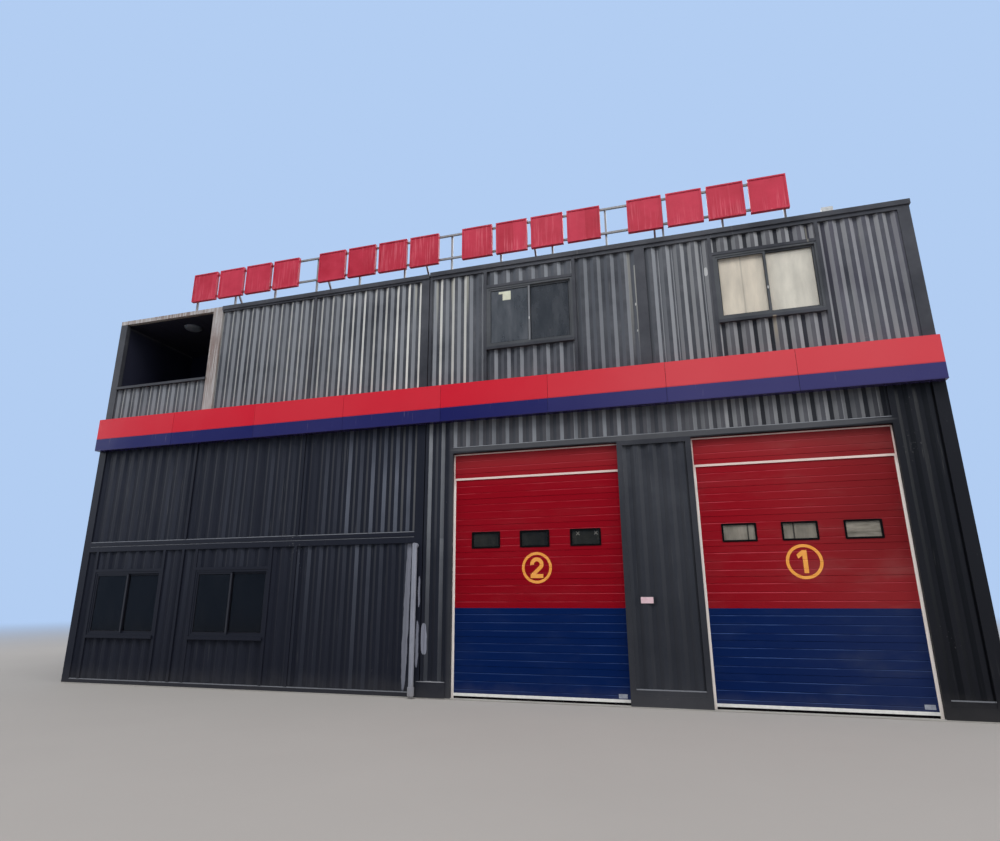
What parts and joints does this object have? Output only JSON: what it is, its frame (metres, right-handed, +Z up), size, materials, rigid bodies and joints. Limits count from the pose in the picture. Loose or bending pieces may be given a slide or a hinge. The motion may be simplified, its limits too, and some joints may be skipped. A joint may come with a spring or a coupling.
{
  "type": "fire station building",
  "caption": "Flat-roofed fire station of stacked corrugated steel modules with tall numbered engine bay doors, rooms beside them, a red and blue band and a blank roof sign.",
  "frame": {"origin": "centre of the four outer walls in plan, on the ground under the slab", "axes": "+Z up; the street front with the bay doors faces -Y; +X to the right along the front as seen from the street"},
  "size_m": [18.21, 12.372, 9.78],
  "materials": {
    "concrete": "floated concrete",
    "frame_grey": "weathered dark grey paint on steel sections",
    "sheet_grey": "weathered dark grey paint on folded steel sheet",
    "lining_board": "faced insulation board",
    "window_metal": "dark grey coated aluminium",
    "window_pane": "clear glass",
    "blind_cream": "cream blind cloth",
    "door_red": "satin red coil coating",
    "door_blue": "satin blue coil coating",
    "trim_white": "white coated trim",
    "gasket_black": "black moulded rubber",
    "fascia_red": "glossy red composite panel",
    "fascia_blue": "glossy blue composite panel",
    "floor_board": "plain floor board",
    "roof_grey": "dusty grey roof sheet",
    "pale_steel": "worn pale grey paint on steel",
    "inner_wall": "plain grey painted panel",
    "lamp_white": "opal lamp cover",
    "sign_red": "faded red painted tray",
    "pipe_grey": "pale grey plastic pipe"
  },
  "bodies": {
    "root": {"ground_slab": "concrete", "corner_posts": "frame_grey", "block_posts": "frame_grey", "wall_studs": "frame_grey", "storey_rails": "frame_grey", "roof_edge_rails": "frame_grey", "side_roof_edge_rails": "frame_grey", "block_seams": "frame_grey", "roof_seam": "roof_grey", "room_sheets": "sheet_grey", "upper_bay_sheets": "sheet_grey", "bay_sheets": "sheet_grey", "side_sheets": "sheet_grey", "back_sheets": "sheet_grey", "front_lining": "lining_board", "side_lining": "lining_board", "back_lining": "lining_board", "window_rails": "frame_grey", "window_frames": "window_metal", "window_sashes": "window_metal", "window_glass": "window_pane", "window_blind": "blind_cream", "bay_jambs": "frame_grey", "bay_head": "frame_grey", "bay_skirting": "frame_grey", "door_1_upper": "door_red", "door_1_lower": "door_blue", "door_2_upper": "door_red", "door_2_lower": "door_blue", "door_transoms": "door_red", "door_trims": "trim_white", "door_seals": "gasket_black", "door_window_frames": "gasket_black", "door_glass": "window_pane", "fascia_red": "fascia_red", "fascia_blue": "fascia_blue", "middle_floor": "floor_board", "upper_floors": "floor_board", "roof_decks": "roof_grey", "loggia_post": "pale_steel", "loggia_beam": "pale_steel", "loggia_back_wall": "inner_wall", "loggia_side_wall": "inner_wall", "ceiling_lamp": "lamp_white", "sign_frame": "pale_steel", "sign_posts": "pale_steel", "sign_braces": "pale_steel", "sign_boxes": "sign_red", "downpipe": "pipe_grey"}
  },
  "joints": []
}
